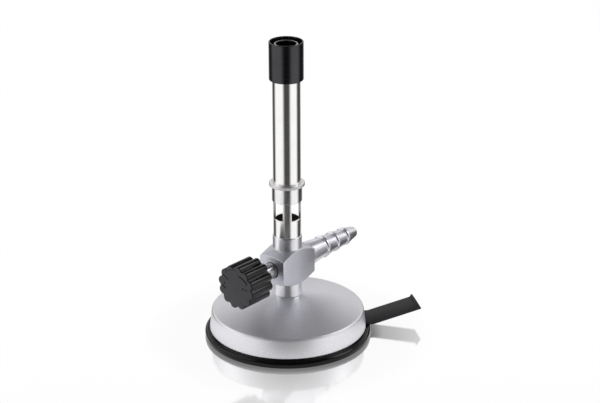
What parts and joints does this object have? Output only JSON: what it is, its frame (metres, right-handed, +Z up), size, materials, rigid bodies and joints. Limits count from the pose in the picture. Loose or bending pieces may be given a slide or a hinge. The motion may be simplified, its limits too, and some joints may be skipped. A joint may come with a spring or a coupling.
{
  "type": "bunsen burner",
  "caption": "Laboratory gas burner with a needle valve, a hose nozzle and a sliding air sleeve, on a round suction base that a side lever grips to or frees from the bench.",
  "frame": {"origin": "on the bench, on the burner's axis", "axes": "+Z up along the burner tube, +X out along the hose nozzle"},
  "size_m": [0.0943, 0.0836, 0.1461],
  "materials": {
    "base_paint": "metallic silver paint on cast metal",
    "rubber": "glossy moulded rubber",
    "zinc_steel": "zinc plated steel",
    "spring_steel": "plain spring steel",
    "black_lever": "satin black coating on steel strip",
    "satin_nickel": "satin nickel plate on brass",
    "polished_chrome": "polished chrome plate",
    "polished_tube": "polished nickel plate",
    "brass": "turned brass",
    "seal": "moulded sealing rubber",
    "knob_plastic": "satin black moulded plastic",
    "black_head": "satin black coating on metal"
  },
  "bodies": {
    "burner": {"base_housing": "base_paint", "suction_pad": "rubber", "lever_pin": "zinc_steel", "lever_washers": "spring_steel", "lock_washer": "spring_steel", "stem_nut": "zinc_steel", "valve_body": "satin_nickel", "hose_nozzle": "satin_nickel", "nozzle_gasket": "seal", "gland_gasket": "seal", "gland_nut": "polished_chrome", "jet_gasket": "seal", "gas_jet": "brass", "burner_tube": "polished_tube", "burner_head": "black_head", "flame_insert": "satin_nickel"},
    "lever": {"suction_lever": "black_lever"},
    "stud": {"pull_stud": "zinc_steel"},
    "spindle_seal": {"spindle_o_ring": "seal"},
    "valve": {"valve_spindle": "brass", "spindle_clip": "spring_steel", "knob_insert": "brass", "valve_knob": "knob_plastic"},
    "sleeve_spring": {"sleeve_ring": "spring_steel"},
    "sleeve": {"air_sleeve": "polished_tube"}
  },
  "joints": [
    {"name": "lever_lift", "type": "hinge", "parent": "burner", "child": "lever", "pos_m": [0.01188, -0.00915, 0.0084], "axis": [-0.6101, -0.7923, 0], "range_deg": [0, 14]},
    {"name": "stud_fall", "type": "slide", "parent": "burner", "child": "stud", "axis": [0, 0, -1], "range_m": [0, 0.00259], "deforming": ["suction_pad"]},
    {"name": "spindle_advance", "type": "slide", "parent": "burner", "child": "spindle_seal", "axis": [-1, 0, 0], "range_m": [0, 0.0015]},
    {"name": "knob_turn", "type": "hinge", "parent": "spindle_seal", "child": "valve", "pos_m": [-0.03, 0, 0.0362], "axis": [-1, 0, 0], "range_deg": [0, 541]},
    {"name": "sleeve_slide", "type": "slide", "parent": "burner", "child": "sleeve_spring", "axis": [0, 0, 1], "range_m": [-0.0092, 0]},
    {"name": "sleeve_turn", "type": "hinge", "parent": "sleeve_spring", "child": "sleeve", "pos_m": [0, 0, 0.0768], "axis": [0, 0, 1], "continuous": true}
  ],
  "couplings": [
    {"joint": "stud_fall", "follows": "lever_lift", "m_per_rad": 0.0105},
    {"joint": "knob_turn", "follows": "spindle_advance", "rad_per_m": 6283.2}
  ]
}
